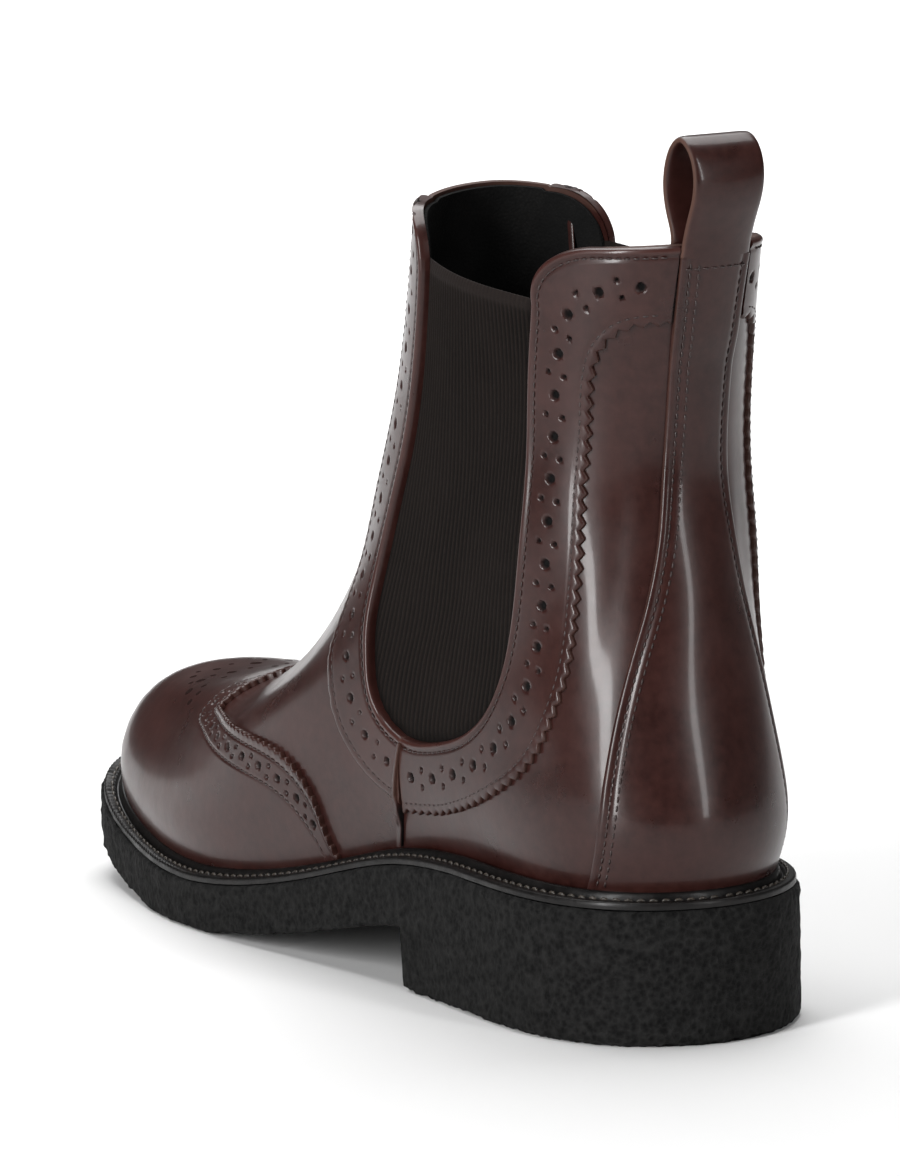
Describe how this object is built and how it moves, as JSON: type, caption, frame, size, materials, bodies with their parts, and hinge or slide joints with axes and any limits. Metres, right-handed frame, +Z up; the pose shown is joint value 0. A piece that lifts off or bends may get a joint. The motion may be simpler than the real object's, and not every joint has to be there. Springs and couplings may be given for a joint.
{
  "type": "ankle boot",
  "caption": "Flat ankle boot with elastic side gores, a perforated wing toe cap and bands, a welted crepe sole with a low block heel, and a pull loop at the back",
  "frame": {"origin": "on the floor, near the middle of the heel's tread, at the mount heel_rest", "axes": "+Y from heel to toe, +X to the foot's inner side, +Z up"},
  "size_m": [0.0918, 0.2806, 0.2169],
  "materials": {
    "polished_leather": "polished, dark burgundy brown",
    "elastic": "ribbed woven elastic, black",
    "crepe_rubber": "rough crepe, black",
    "welt_leather": "semi-gloss, black",
    "insole_board": "matte, black"
  },
  "bodies": {
    "root": {"outsole": "crepe_rubber", "welt": "welt_leather", "insole": "insole_board", "upper": "polished_leather", "gore_inner": "elastic", "gore_outer": "elastic", "wing_cap": "polished_leather", "quarter_band_inner": "polished_leather", "quarter_band_outer": "polished_leather", "facing_band_inner": "polished_leather", "facing_band_outer": "polished_leather", "side_seam_inner": "polished_leather", "side_seam_outer": "polished_leather", "back_strap": "polished_leather", "pull_loop": "polished_leather"}
  },
  "joints": []
}
